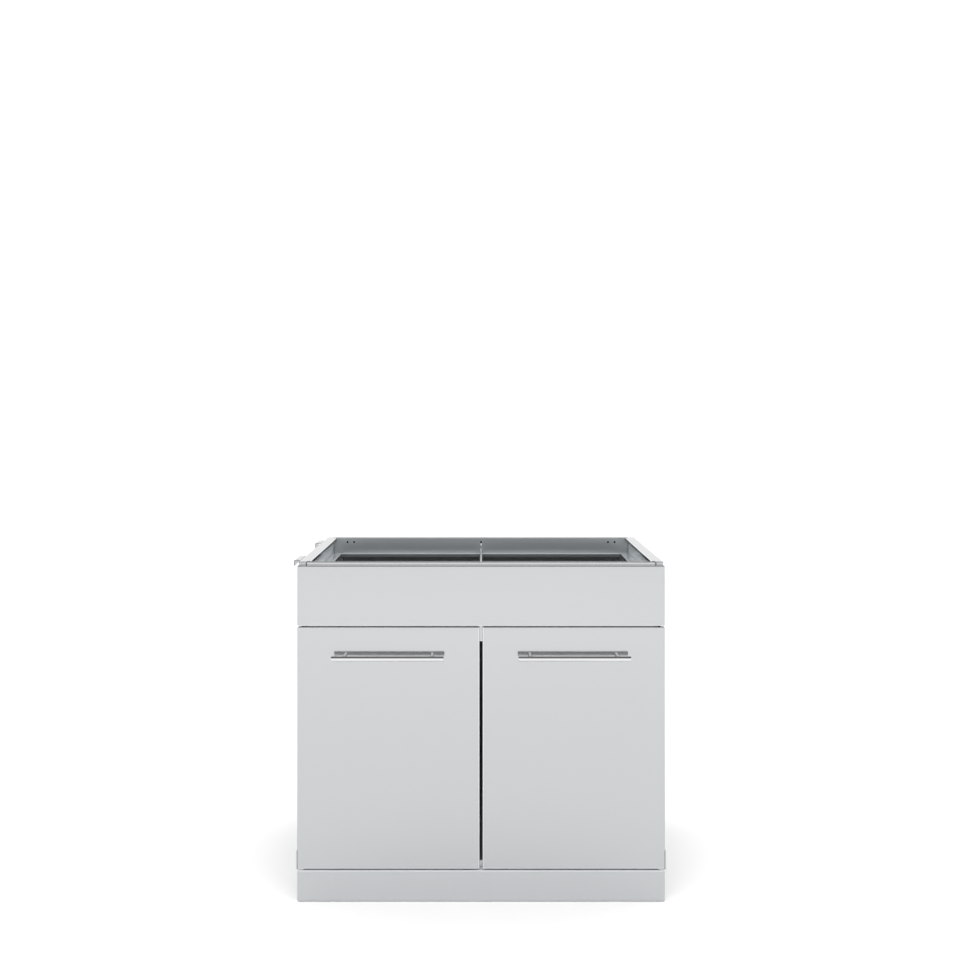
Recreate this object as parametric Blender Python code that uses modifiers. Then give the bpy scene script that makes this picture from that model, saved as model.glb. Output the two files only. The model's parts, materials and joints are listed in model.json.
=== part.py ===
"""Outdoor kitchen base cabinet in folded stainless sheet.

Metres, +Z up. The front faces -Y and +X is to the right.
Pieces are laid out in cabinet coordinates: x from the centre plane, y back from the door faces and
z up from the floor. One empty carries them, so that the world origin is the middle of the footprint.
"""
import math

import bmesh
import bpy
from mathutils import Matrix, Vector

# Overall sizes
CABINET_WIDTH = 0.9144
CABINET_DEPTH = 0.610
CARCASS_HEIGHT = 0.8425

# Sheet, folds and fits
SHEET = 0.0012
BEND_RADIUS = 0.0022
FIT_GAP = 0.0003
OVERRUN = 0.004
BEND_STEPS = 2
ROUND_STEPS = 24
FINE_STEPS = 32
FOLD_ANGLE_LIMIT = math.radians(30)
SMOOTH_ANGLE = math.radians(35)
MERGE_DISTANCE = 0.00001
QUARTER_TURN = math.radians(90)

# Double-walled sides
SIDE_THICKNESS = 0.0207
SIDE_FOOT_GAP = 0.001
TOP_FLANGE_WIDTH = 0.0286
TOP_FLANGE_LIP = 0.008
TOP_FLANGE_RELIEF = 0.008
LINER_FLANGE = 0.0065

# Back tray and the fixing holes near its top edge
BACK_THICKNESS = 0.028
BACK_BOTTOM = 0.060
FIXING_HOLE_DROP = 0.012
FIXING_HOLE_OUTER_INSET = 0.0403
FIXING_HOLE_INNER_INSET = 0.0599
FIXING_HOLE = 0.0035

# Front layer: false panel, doors and plinth share one plane
DOOR_THICKNESS = 0.020
DOOR_STANDOFF = 0.003
DOOR_HEAD_GAP = 0.003
DOOR_FOOT_GAP = 0.0042
DOOR_CENTRE_GAP = 0.0075
FALSE_FRONT_DROP = 0.0075
FALSE_FRONT_HEIGHT = 0.1495
PLINTH_LIFT = 0.001
PLINTH_TOP = 0.0775

# False front stiffener
STIFFENER_HEIGHT = 0.080
STIFFENER_LIFT = 0.0145
STIFFENER_END_GAP = 0.0065

# Rails across the front
RAIL_END_GAP = 0.0008
TOP_RAIL_HEIGHT = 0.100
TOP_RAIL_TOP_FLANGE = 0.0045
TOP_RAIL_BOTTOM_FLANGE = 0.020
HEAD_RAIL_LAP = 0.0395
HEAD_RAIL_HEIGHT = 0.072
HEAD_RAIL_FLANGE = 0.025

# Support ledge round the top opening, and the bar across it
LEDGE_DROP = 0.0425
LEDGE_WIDTH = 0.026
LEDGE_DEPTH = 0.030
LEDGE_LEG = 0.025
LEDGE_LIP = 0.010
BAR_WIDTH = 0.0055
BAR_DEPTH = 0.022
BAR_TONGUE = 0.005
BAR_CLEARANCE = 0.001

# Floor pan
FLOOR_TOP = 0.095
FLOOR_SKIRT = 0.030

# Hooks on the left side
HOOK_SHEET = 0.0015
HOOK_REACH = 0.016
HOOK_LIP = 0.014
HOOK_LEG = 0.030
HOOK_FRONT_START = 0.053
HOOK_FRONT_END = 0.150
HOOK_REAR_START = 0.444
HOOK_REAR_END = 0.523
HOOK_HOLE = 0.0025
HOOK_HOLE_INSET = 0.012

# Pivot hinges at the doors' outer corners
HINGE_INSET = 0.007
HINGE_SETBACK = 0.008
PIN_RADIUS = 0.0025
PIN_HEAD_RADIUS = 0.0043
PIN_HEAD_HEIGHT = 0.002
PIN_REACH = 0.012
BUSH_WALL = 0.0006
BUSH_FLANGE_RADIUS = 0.0047
BUSH_FLANGE_THICKNESS = 0.0008
HINGE_PLATE_THICKNESS = 0.003
HINGE_PLATE_LEG = 0.030
HINGE_PLATE_CLEARANCE = 0.001
HINGE_PLATE_LEAD = 0.0055
BRACKET_SHEET = 0.0025
BRACKET_BEND = 0.0032
BRACKET_HEIGHT = 0.0465
BRACKET_DEPTH = 0.016
BRACKET_REACH = 0.016

# Bar handles
HANDLE_LENGTH = 0.277
HANDLE_RADIUS = 0.006
HANDLE_CHAMFER = 0.0008
HANDLE_STANDOFF = 0.033
HANDLE_DROP = 0.072
HANDLE_POST_INSET = 0.03025
HANDLE_POST_RADIUS = 0.005
HANDLE_THREAD_DEPTH = 0.014

# Pan-head screws
SCREW_RADIUS = 0.0022
SCREW_HEAD_RADIUS = 0.0044
SCREW_HEAD_HEIGHT = 0.0024
SCREW_HEAD_CROWN = 0.0008

# Magnetic catches
CATCH_OFFSET = 0.055
CATCH_WIDTH = 0.044
CATCH_HEIGHT = 0.016
CATCH_LENGTH = 0.020
CATCH_SLOT_WIDTH = 0.030
CATCH_SLOT_DEPTH = 0.0012
CATCH_SLOT_HEIGHT = 0.004
STRIKE_WIDTH = 0.040
STRIKE_THICKNESS = 0.0015

# Plinth rail
PLINTH_RAIL_END_GAP = 0.0115
PLINTH_RAIL_BACK = 0.034
PLINTH_RAIL_FRONT = 0.020

# Levelling feet and their sockets
FOOT_SIDE_INSET = 0.048
FOOT_FRONT_INSET = 0.085
FOOT_BACK_INSET = 0.055
FOOT_PAD_RADIUS = 0.025
FOOT_PAD_HEIGHT = 0.0085
FOOT_PAD_CHAMFER = 0.002
FOOT_STEM_RADIUS = 0.006
FOOT_STEM_LENGTH = 0.066
SOCKET_FLANGE_RADIUS = 0.031
SOCKET_FLANGE_THICKNESS = 0.003
SOCKET_TUBE_RADIUS = 0.015
SOCKET_FOOT_GAP = 0.0006
SOCKET_ROOF = 0.006

# Derived places
HALF_WIDTH = CABINET_WIDTH / 2
INNER_WALL = HALF_WIDTH - SIDE_THICKNESS
CARCASS_FRONT = DOOR_THICKNESS + DOOR_STANDOFF
BACK_INNER = CABINET_DEPTH - BACK_THICKNESS
FALSE_FRONT_TOP = CARCASS_HEIGHT - FALSE_FRONT_DROP
FALSE_FRONT_BOTTOM = FALSE_FRONT_TOP - FALSE_FRONT_HEIGHT
DOOR_TOP = FALSE_FRONT_BOTTOM - DOOR_HEAD_GAP
DOOR_BOTTOM = PLINTH_TOP + DOOR_FOOT_GAP
HEAD_RAIL_BOTTOM = DOOR_TOP - HEAD_RAIL_LAP
DOOR_INNER_EDGE = DOOR_CENTRE_GAP / 2
FIXED_FRONT_DEPTH = CARCASS_FRONT - FIT_GAP
HINGE_X = HALF_WIDTH - HINGE_INSET
LEDGE_TOP = CARCASS_HEIGHT - LEDGE_DROP
LEDGE_INNER_X = INNER_WALL - LEDGE_WIDTH
BACK_LEDGE_FRONT = BACK_INNER - LEDGE_DEPTH
RAIL_BACK = CARCASS_FRONT + SHEET
FRONT_LEDGE_BACK = RAIL_BACK + LEDGE_DEPTH
BUSH_BORE = PIN_RADIUS + FIT_GAP
BUSH_RADIUS = BUSH_BORE + BUSH_WALL
BUSH_HOLE = BUSH_RADIUS + FIT_GAP
SCREW_HOLE = SCREW_RADIUS + FIT_GAP
HANDLE_HEIGHT = DOOR_TOP - HANDLE_DROP
DOOR_MIDDLE_X = (HALF_WIDTH + DOOR_INNER_EDGE) / 2
BRACKET_PROUD = FIT_GAP + BRACKET_SHEET
HANDLE_REACH = HANDLE_STANDOFF + HANDLE_RADIUS
CENTRE_PLANE_X = (HOOK_REACH - BRACKET_PROUD) / 2
FRONT_PLANE_Y = -(CABINET_DEPTH - HANDLE_REACH) / 2

# Finish: colour, metallic, roughness
FINISHES = {
    "brushed_front": ((0.66, 0.665, 0.67), 1.0, 0.34),
    "brushed_carcass": ((0.62, 0.625, 0.63), 1.0, 0.30),
    "polished_steel": ((0.70, 0.70, 0.70), 1.0, 0.16),
    "zinc_plate": ((0.55, 0.55, 0.54), 1.0, 0.40),
    "black_plastic": ((0.03, 0.03, 0.032), 0.0, 0.50),
    "white_plastic": ((0.72, 0.72, 0.70), 0.0, 0.45),
}

PLACES = {}


# Scene set-up

def clear_scene():
    for obj in list(bpy.data.objects):
        bpy.data.objects.remove(obj, do_unlink=True)


def new_collection(name):
    collection = bpy.data.collections.new(name)
    bpy.context.scene.collection.children.link(collection)
    return collection


def add_anchor(name, place, parent=None):
    """An empty at a place in cabinet coordinates, which carries other pieces."""
    anchor = bpy.data.objects.new(name, None)
    cabinet_parts.objects.link(anchor)
    anchor.empty_display_size = HANDLE_REACH
    PLACES[name] = Vector(place)
    if parent is None:
        anchor.location = Vector((CENTRE_PLANE_X, FRONT_PLANE_Y, 0)) + PLACES[name]
    else:
        anchor.parent = parent
        anchor.location = PLACES[name] - PLACES[parent.name]
    return anchor


def finish_material(name, finish):
    colour, metallic, roughness = FINISHES[finish]
    material = bpy.data.materials.new(name + "_finish")
    material.use_nodes = True
    shader = material.node_tree.nodes["Principled BSDF"]
    shader.inputs["Base Color"].default_value = (*colour, 1)
    shader.inputs["Metallic"].default_value = metallic
    shader.inputs["Roughness"].default_value = roughness
    material.diffuse_color = (*colour, 1)
    return material


def place_mesh(name, bm, parent, collection):
    """Turn a bmesh drawn in cabinet coordinates into an object whose origin is its middle."""
    lows = Vector([min(v.co[i] for v in bm.verts) for i in range(3)])
    highs = Vector([max(v.co[i] for v in bm.verts) for i in range(3)])
    middle = (lows + highs) / 2
    bmesh.ops.translate(bm, verts=bm.verts, vec=-middle)
    mesh = bpy.data.meshes.new(name)
    bm.to_mesh(mesh)
    bm.free()
    obj = bpy.data.objects.new(name, mesh)
    collection.objects.link(obj)
    obj.parent = parent
    obj.location = middle - PLACES[parent.name]
    return obj


def new_part(name, bm, parent, finish):
    part = place_mesh(name, bm, parent, cabinet_parts)
    part.data.materials.append(finish_material(name, finish))
    return part


# Modelling helpers

def box_bmesh(low, high):
    bm = bmesh.new()
    bmesh.ops.create_cube(bm, size=1)
    low, high = Vector(low), Vector(high)
    bmesh.ops.scale(bm, verts=bm.verts, vec=high - low)
    bmesh.ops.translate(bm, verts=bm.verts, vec=(low + high) / 2)
    return bm


def add_bevel(obj, width, steps):
    bevel = obj.modifiers.new("Folds", "BEVEL")
    bevel.width = width
    bevel.segments = steps
    bevel.limit_method = "ANGLE"
    bevel.angle_limit = FOLD_ANGLE_LIMIT


def add_thickness(obj, sheet):
    solidify = obj.modifiers.new("Sheet", "SOLIDIFY")
    solidify.thickness = sheet
    solidify.offset = -1
    solidify.use_even_offset = True


def smooth(obj):
    obj.data.shade_smooth()
    obj.data.set_sharp_from_angle(angle=SMOOTH_ANGLE)


def block(name, low, high, parent, finish, edge=0):
    """A solid block, with its edges eased when a width is given."""
    part = new_part(name, box_bmesh(low, high), parent, finish)
    if edge:
        add_bevel(part, edge, BEND_STEPS)
    return part


def pan(name, low, high, open_side, parent, finish):
    """A tray folded from sheet: a box with one open side and rounded folds."""
    bm = box_bmesh(low, high)
    open_face = max(bm.faces, key=lambda face: face.normal.dot(Vector(open_side)))
    bmesh.ops.delete(bm, geom=[open_face], context="FACES_ONLY")
    part = new_part(name, bm, parent, finish)
    add_bevel(part, BEND_RADIUS, BEND_STEPS)
    add_thickness(part, SHEET)
    return part


def folded_bmesh(path, span, plane):
    """A surface along a path of corners. The sheet will lie to the right of the path."""
    bm = bmesh.new()
    rows = []
    for along in span:
        row = []
        for first, second in path:
            point = {"XZ": (first, along, second), "YZ": (along, first, second)}[plane]
            row.append(bm.verts.new(point))
        rows.append(row)
    for i in range(len(path) - 1):
        corners = [rows[0][i], rows[0][i + 1], rows[1][i + 1], rows[1][i]]
        if plane == "YZ":
            corners.reverse()
        bm.faces.new(corners)
    return bm


def folded_sheet(name, path, span, plane, parent, finish, sheet=SHEET, bend=BEND_RADIUS):
    part = new_part(name, folded_bmesh(path, span, plane), parent, finish)
    add_bevel(part, bend, BEND_STEPS)
    add_thickness(part, sheet)
    return part


def mirrored(path, side):
    """The same path for the left side, still with the sheet to its right."""
    if side > 0:
        return path
    return [(-first, second) for first, second in reversed(path)]


def axis_turn(axis):
    """Rotation that takes a piece drawn along +Z to another axis."""
    turns = {
        "X": Matrix.Rotation(QUARTER_TURN, 4, "Y"),
        "Y": Matrix.Rotation(-QUARTER_TURN, 4, "X"),
        "Z": Matrix.Identity(4),
    }
    return turns[axis]


def add_cylinder(bm, centre, axis, radius, length, steps=ROUND_STEPS):
    matrix = Matrix.Translation(Vector(centre)) @ axis_turn(axis)
    bmesh.ops.create_cone(bm, cap_ends=True, segments=steps, radius1=radius, radius2=radius,
                          depth=length, matrix=matrix)


def cut(part, bm, name):
    """Take a cutter drawn in cabinet coordinates out of a part."""
    cutter = place_mesh(part.name + "_" + name, bm, part.parent, cabinet_cutters)
    cutter.hide_render = True
    cutter.display_type = "WIRE"
    boolean = part.modifiers.new(name, "BOOLEAN")
    boolean.operation = "DIFFERENCE"
    boolean.solver = "EXACT"
    boolean.object = cutter


def drill(part, holes, axis, length, name="holes"):
    """Holes of given centres and radii along one axis."""
    bm = bmesh.new()
    for centre, radius in holes:
        add_cylinder(bm, centre, axis, radius, length)
    cut(part, bm, name)


def turned_part(name, profile, place, axis, parent, finish, closed=False, steps=ROUND_STEPS):
    """Turn a profile of (radius, height) points. Height runs along the axis, from the place."""
    bm = bmesh.new()
    verts = [bm.verts.new((radius, 0, height)) for radius, height in profile]
    edges = [bm.edges.new(ends) for ends in zip(verts, verts[1:])]
    if closed:
        edges.append(bm.edges.new((verts[-1], verts[0])))
    bmesh.ops.spin(bm, geom=verts + edges, axis=(0, 0, 1), angle=4 * QUARTER_TURN, steps=steps)
    bmesh.ops.remove_doubles(bm, verts=bm.verts, dist=MERGE_DISTANCE)
    bmesh.ops.recalc_face_normals(bm, faces=bm.faces)
    bm.transform(Matrix.Translation(Vector(place)) @ axis_turn(axis))
    part = new_part(name, bm, parent, finish)
    smooth(part)
    return part


def screw_profile(length):
    """Pan-head screw: the head's underside is at zero and the shank runs down."""
    return [
        (0, SCREW_HEAD_HEIGHT),
        (SCREW_HEAD_RADIUS - SCREW_HEAD_CROWN, SCREW_HEAD_HEIGHT),
        (SCREW_HEAD_RADIUS, SCREW_HEAD_HEIGHT - SCREW_HEAD_CROWN),
        (SCREW_HEAD_RADIUS, 0),
        (SCREW_RADIUS, 0),
        (SCREW_RADIUS, -length),
        (0, -length),
    ]


def flanged_bush_profile(barrel):
    """Flanged bush: the flange's underside is at zero and the barrel runs down."""
    return [
        (BUSH_BORE, BUSH_FLANGE_THICKNESS),
        (BUSH_FLANGE_RADIUS, BUSH_FLANGE_THICKNESS),
        (BUSH_FLANGE_RADIUS, 0),
        (BUSH_RADIUS, 0),
        (BUSH_RADIUS, -barrel),
        (BUSH_BORE, -barrel),
    ]


def pin_profile(length):
    """Headed pin: the head's underside is at zero and the pin runs down."""
    return [
        (0, PIN_HEAD_HEIGHT),
        (PIN_HEAD_RADIUS, PIN_HEAD_HEIGHT),
        (PIN_HEAD_RADIUS, 0),
        (PIN_RADIUS, 0),
        (PIN_RADIUS, -length),
        (0, -length),
    ]


# Carcass

def hinge_leaf_folds():
    """Where the lower and upper hinge plates fold, with the way that their leaves run."""
    lower = PLINTH_TOP - SHEET - FIT_GAP
    upper = FALSE_FRONT_BOTTOM + SHEET + FIT_GAP
    return [(lower, -1), (upper, 1)]


def side_skin(side, name):
    """Outer wall with returns on four sides. Its top flange runs further in and turns down."""
    xs = sorted((side * INNER_WALL, side * HALF_WIDTH))
    bm = box_bmesh((xs[0], CARCASS_FRONT, SIDE_FOOT_GAP), (xs[1], CABINET_DEPTH, CARCASS_HEIGHT))
    inner_face = max(bm.faces, key=lambda face: -side * face.normal.x)
    bmesh.ops.delete(bm, geom=[inner_face], context="FACES_ONLY")
    flange_start = RAIL_BACK + TOP_RAIL_TOP_FLANGE + TOP_FLANGE_RELIEF
    flange_end = BACK_INNER - FIT_GAP
    for cut_y in (flange_start, flange_end):
        everything = bm.verts[:] + bm.edges[:] + bm.faces[:]
        bmesh.ops.bisect_plane(bm, geom=everything, plane_co=(0, cut_y, 0), plane_no=(0, 1, 0))

    def is_flange_edge(edge):
        ends = edge.verts
        on_top = all(abs(v.co.z - CARCASS_HEIGHT) < MERGE_DISTANCE for v in ends)
        at_seam = all(abs(v.co.x - side * INNER_WALL) < MERGE_DISTANCE for v in ends)
        middle_y = (ends[0].co.y + ends[1].co.y) / 2
        return on_top and at_seam and flange_start < middle_y < flange_end

    edge = next(e for e in bm.edges if is_flange_edge(e))
    for step in ((side * (SIDE_THICKNESS - TOP_FLANGE_WIDTH), 0, 0), (0, 0, -TOP_FLANGE_LIP)):
        grown = bmesh.ops.extrude_edge_only(bm, edges=[edge])["geom"]
        new_verts = [item for item in grown if isinstance(item, bmesh.types.BMVert)]
        bmesh.ops.translate(bm, verts=new_verts, vec=step)
        edge = next(item for item in grown if isinstance(item, bmesh.types.BMEdge)
                    and all(v in new_verts for v in item.verts))
    bmesh.ops.recalc_face_normals(bm, faces=bm.faces)
    outer = max(bm.faces, key=lambda face: side * face.calc_center_median().x)
    if outer.normal.x * side < 0:
        bmesh.ops.reverse_faces(bm, faces=bm.faces)
    part = new_part(name, bm, cabinet, "brushed_carcass")
    add_bevel(part, BEND_RADIUS, BEND_STEPS)
    add_thickness(part, SHEET)


def side_liner(side, name):
    """Inner wall: a shallow tray nested in the returns of the outer skin."""
    inset = SHEET + FIT_GAP
    xs = sorted((side * INNER_WALL, side * (INNER_WALL + LINER_FLANGE)))
    low = (xs[0], CARCASS_FRONT + inset, SIDE_FOOT_GAP + inset)
    high = (xs[1], CABINET_DEPTH - inset, CARCASS_HEIGHT - inset)
    pan(name, low, high, (side, 0, 0), cabinet, "brushed_carcass")


def side_hook(name, start, end):
    """An inverted channel on the left side, open downward."""
    outer_x = -(HALF_WIDTH + HOOK_REACH)
    wall_x = -(HALF_WIDTH + FIT_GAP)
    path = [
        (outer_x, CARCASS_HEIGHT - HOOK_LIP),
        (outer_x, CARCASS_HEIGHT),
        (wall_x, CARCASS_HEIGHT),
        (wall_x, CARCASS_HEIGHT - HOOK_LEG),
    ]
    hook = folded_sheet(name, path, (start, end), "XZ", cabinet, "brushed_carcass", HOOK_SHEET)
    web_hole = (outer_x + HOOK_REACH / 2, start + HOOK_HOLE_INSET, CARCASS_HEIGHT)
    drill(hook, [(web_hole, HOOK_HOLE)], "Z", 2 * OVERRUN, "web_hole")


def ledge_path(wall, width):
    """Upright leaf at the wall, a shelf of the given width and a turned-down lip."""
    inner = wall - width
    return [
        (inner, LEDGE_TOP - LEDGE_LIP),
        (inner, LEDGE_TOP),
        (wall, LEDGE_TOP),
        (wall, LEDGE_TOP - LEDGE_LEG),
    ]


def build_ledges():
    for side, name in ((-1, "ledge_left"), (1, "ledge_right")):
        path = mirrored(ledge_path(INNER_WALL - FIT_GAP, LEDGE_WIDTH - FIT_GAP), side)
        span = (RAIL_BACK + FIT_GAP, BACK_INNER - FIT_GAP)
        folded_sheet(name, path, span, "XZ", cabinet, "brushed_carcass")
    cross = LEDGE_INNER_X - FIT_GAP
    back_path = ledge_path(BACK_INNER - FIT_GAP, LEDGE_DEPTH - FIT_GAP)
    folded_sheet("ledge_back", back_path, (-cross, cross), "YZ", cabinet, "brushed_carcass")
    front_path = [(-y, z) for y, z in reversed(ledge_path(-(RAIL_BACK + FIT_GAP), LEDGE_DEPTH))]
    folded_sheet("ledge_front", front_path, (-cross, cross), "YZ", cabinet, "brushed_carcass")


def build_support_bar():
    """A flat bar on edge across the opening. Its tongues lie on the front and back ledges."""
    seat_z = LEDGE_TOP + FIT_GAP
    top_z = seat_z + BAR_TONGUE
    front_y = RAIL_BACK + BAR_CLEARANCE
    back_y = BACK_INNER - BAR_CLEARANCE
    body_front = FRONT_LEDGE_BACK + BAR_CLEARANCE
    body_back = BACK_LEDGE_FRONT - BAR_CLEARANCE
    corner = BAR_TONGUE
    outline = [
        (front_y, seat_z), (front_y, top_z), (back_y, top_z), (back_y, seat_z),
        (body_back, seat_z), (body_back, top_z - BAR_DEPTH + corner),
        (body_back - corner, top_z - BAR_DEPTH), (body_front + corner, top_z - BAR_DEPTH),
        (body_front, top_z - BAR_DEPTH + corner), (body_front, seat_z),
    ]
    bm = bmesh.new()
    face = bm.faces.new([bm.verts.new((-BAR_WIDTH / 2, y, z)) for y, z in outline])
    grown = bmesh.ops.extrude_face_region(bm, geom=[face])["geom"]
    new_verts = [item for item in grown if isinstance(item, bmesh.types.BMVert)]
    bmesh.ops.translate(bm, verts=new_verts, vec=(BAR_WIDTH, 0, 0))
    bmesh.ops.recalc_face_normals(bm, faces=bm.faces)
    new_part("support_bar", bm, cabinet, "brushed_carcass")


def build_back():
    low = (-(INNER_WALL - FIT_GAP), BACK_INNER, BACK_BOTTOM)
    high = (INNER_WALL - FIT_GAP, CABINET_DEPTH, CARCASS_HEIGHT)
    back = pan("back_panel", low, high, (0, 1, 0), cabinet, "brushed_carcass")
    outer_x = INNER_WALL - FIXING_HOLE_OUTER_INSET
    inner_x = INNER_WALL - FIXING_HOLE_INNER_INSET
    xs = (-outer_x, -inner_x, 0, inner_x, outer_x)
    height = CARCASS_HEIGHT - FIXING_HOLE_DROP
    drill(back, [((x, BACK_INNER, height), FIXING_HOLE) for x in xs], "Y", 2 * OVERRUN)


def build_front_rails():
    span = (RAIL_END_GAP - INNER_WALL, INNER_WALL - RAIL_END_GAP)
    rails = (
        ("top_front_rail", CARCASS_HEIGHT - TOP_RAIL_HEIGHT, CARCASS_HEIGHT,
         TOP_RAIL_BOTTOM_FLANGE, TOP_RAIL_TOP_FLANGE),
        ("door_head_rail", HEAD_RAIL_BOTTOM, HEAD_RAIL_BOTTOM + HEAD_RAIL_HEIGHT,
         HEAD_RAIL_FLANGE, HEAD_RAIL_FLANGE),
    )
    for name, bottom, top, bottom_flange, top_flange in rails:
        path = [
            (CARCASS_FRONT + bottom_flange, bottom),
            (CARCASS_FRONT, bottom),
            (CARCASS_FRONT, top),
            (CARCASS_FRONT + top_flange, top),
        ]
        folded_sheet(name, path, span, "YZ", cabinet, "brushed_carcass")


def build_floor():
    low = (-(INNER_WALL - FIT_GAP), CARCASS_FRONT, FLOOR_TOP - FLOOR_SKIRT)
    high = (INNER_WALL - FIT_GAP, BACK_INNER - FIT_GAP, FLOOR_TOP)
    pan("floor_pan", low, high, (0, 0, -1), cabinet, "brushed_carcass")


def build_false_front():
    low = (-HALF_WIDTH, 0, FALSE_FRONT_BOTTOM)
    high = (HALF_WIDTH, FIXED_FRONT_DEPTH, FALSE_FRONT_TOP)
    skin = pan("false_front", low, high, (0, 1, 0), cabinet, "brushed_front")
    pin_holes = [((side * HINGE_X, HINGE_SETBACK, FALSE_FRONT_BOTTOM), BUSH_BORE) for side in (-1, 1)]
    drill(skin, pin_holes, "Z", 2 * OVERRUN)
    bottom = FALSE_FRONT_BOTTOM + STIFFENER_LIFT
    top = bottom + STIFFENER_HEIGHT
    front_y = SHEET + FIT_GAP
    path = [(front_y, top), (FIXED_FRONT_DEPTH, top), (FIXED_FRONT_DEPTH, bottom), (front_y, bottom)]
    span = (STIFFENER_END_GAP - INNER_WALL, INNER_WALL - STIFFENER_END_GAP)
    folded_sheet("false_front_stiffener", path, span, "YZ", cabinet, "zinc_plate")


def build_plinth():
    low = (-HALF_WIDTH, 0, PLINTH_LIFT)
    high = (HALF_WIDTH, FIXED_FRONT_DEPTH, PLINTH_TOP)
    plinth = pan("plinth", low, high, (0, 1, 0), cabinet, "brushed_front")
    holes = [((side * HINGE_X, HINGE_SETBACK, PLINTH_TOP), BUSH_HOLE) for side in (-1, 1)]
    drill(plinth, holes, "Z", 2 * OVERRUN)
    top = PLINTH_TOP - SHEET - FIT_GAP
    front_y = SHEET + FIT_GAP
    path = [
        (front_y, top - PLINTH_RAIL_FRONT),
        (front_y, top),
        (FIXED_FRONT_DEPTH, top),
        (FIXED_FRONT_DEPTH, top - PLINTH_RAIL_BACK),
    ]
    span = (PLINTH_RAIL_END_GAP - INNER_WALL, INNER_WALL - PLINTH_RAIL_END_GAP)
    folded_sheet("plinth_rail", path, span, "YZ", cabinet, "zinc_plate")


def build_sockets_and_feet():
    """Sockets hang under the floor pan. A foot's stem screws up into its socket."""
    socket_top = FLOOR_TOP - SHEET - FIT_GAP
    socket_bottom = FOOT_PAD_HEIGHT + SOCKET_FOOT_GAP
    bore = FOOT_STEM_RADIUS + FIT_GAP
    socket_profile = [
        (0, socket_top),
        (SOCKET_FLANGE_RADIUS, socket_top),
        (SOCKET_FLANGE_RADIUS, socket_top - SOCKET_FLANGE_THICKNESS),
        (SOCKET_TUBE_RADIUS, socket_top - SOCKET_FLANGE_THICKNESS),
        (SOCKET_TUBE_RADIUS, socket_bottom),
        (bore, socket_bottom),
        (bore, socket_top - SOCKET_ROOF),
        (0, socket_top - SOCKET_ROOF),
    ]
    foot_profile = [
        (0, FOOT_PAD_HEIGHT + FOOT_STEM_LENGTH),
        (FOOT_STEM_RADIUS, FOOT_PAD_HEIGHT + FOOT_STEM_LENGTH),
        (FOOT_STEM_RADIUS, FOOT_PAD_HEIGHT),
        (FOOT_PAD_RADIUS - FOOT_PAD_CHAMFER, FOOT_PAD_HEIGHT),
        (FOOT_PAD_RADIUS, FOOT_PAD_HEIGHT - FOOT_PAD_CHAMFER),
        (FOOT_PAD_RADIUS, 0),
        (0, 0),
    ]
    foot_x = INNER_WALL - FOOT_SIDE_INSET
    rows = (("front", CARCASS_FRONT + FOOT_FRONT_INSET), ("back", BACK_INNER - FOOT_BACK_INSET))
    for row, y in rows:
        for side, side_name in ((-1, "left"), (1, "right")):
            corner = row + "_" + side_name
            place = (side * foot_x, y, 0)
            turned_part("leg_socket_" + corner, socket_profile, place, "Z", cabinet, "black_plastic")
            axis = add_anchor("foot_axis_" + corner, place, cabinet)
            turned_part("foot_" + corner, foot_profile, place, "Z", axis, "black_plastic")


# Hinges

def hinge_plate(name, side, fold, direction, hole_radius):
    """A thick angle behind the front layer. Its flat leaf carries the bush or the pin."""
    xs = sorted((side * (INNER_WALL + HINGE_PLATE_CLEARANCE),
                 side * (HALF_WIDTH - SHEET - HINGE_PLATE_CLEARANCE)))
    front_y = HINGE_SETBACK - HINGE_PLATE_LEAD
    path = [
        (front_y, fold),
        (FIXED_FRONT_DEPTH, fold),
        (FIXED_FRONT_DEPTH, fold + direction * HINGE_PLATE_LEG),
    ]
    if direction > 0:
        path.reverse()
    plate = folded_sheet(name, path, xs, "YZ", cabinet, "zinc_plate",
                         HINGE_PLATE_THICKNESS, HINGE_PLATE_THICKNESS + FIT_GAP)
    drill(plate, [((side * HINGE_X, HINGE_SETBACK, fold), hole_radius)], "Z", 2 * OVERRUN)


def build_fixed_hinges(side, side_name):
    (lower_fold, lower_way), (upper_fold, upper_way) = hinge_leaf_folds()
    hinge_plate("lower_hinge_plate_" + side_name, side, lower_fold, lower_way, BUSH_HOLE)
    hinge_plate("upper_hinge_plate_" + side_name, side, upper_fold, upper_way, BUSH_BORE)
    bush_place = (side * HINGE_X, HINGE_SETBACK, PLINTH_TOP + FIT_GAP)
    barrel = FIT_GAP + SHEET + FIT_GAP + HINGE_PLATE_THICKNESS + PIN_HEAD_HEIGHT
    turned_part("lower_hinge_bush_" + side_name, flanged_bush_profile(barrel), bush_place, "Z",
                 cabinet, "white_plastic", closed=True)
    pin_seat = upper_fold + HINGE_PLATE_THICKNESS + FIT_GAP
    pin_place = (side * HINGE_X, HINGE_SETBACK, pin_seat)
    turned_part("upper_hinge_pin_" + side_name, pin_profile(pin_seat - DOOR_TOP + PIN_REACH),
                 pin_place, "Z", cabinet, "polished_steel")


# Doors

def door_span(side):
    return sorted((side * DOOR_INNER_EDGE, side * HALF_WIDTH))


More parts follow.
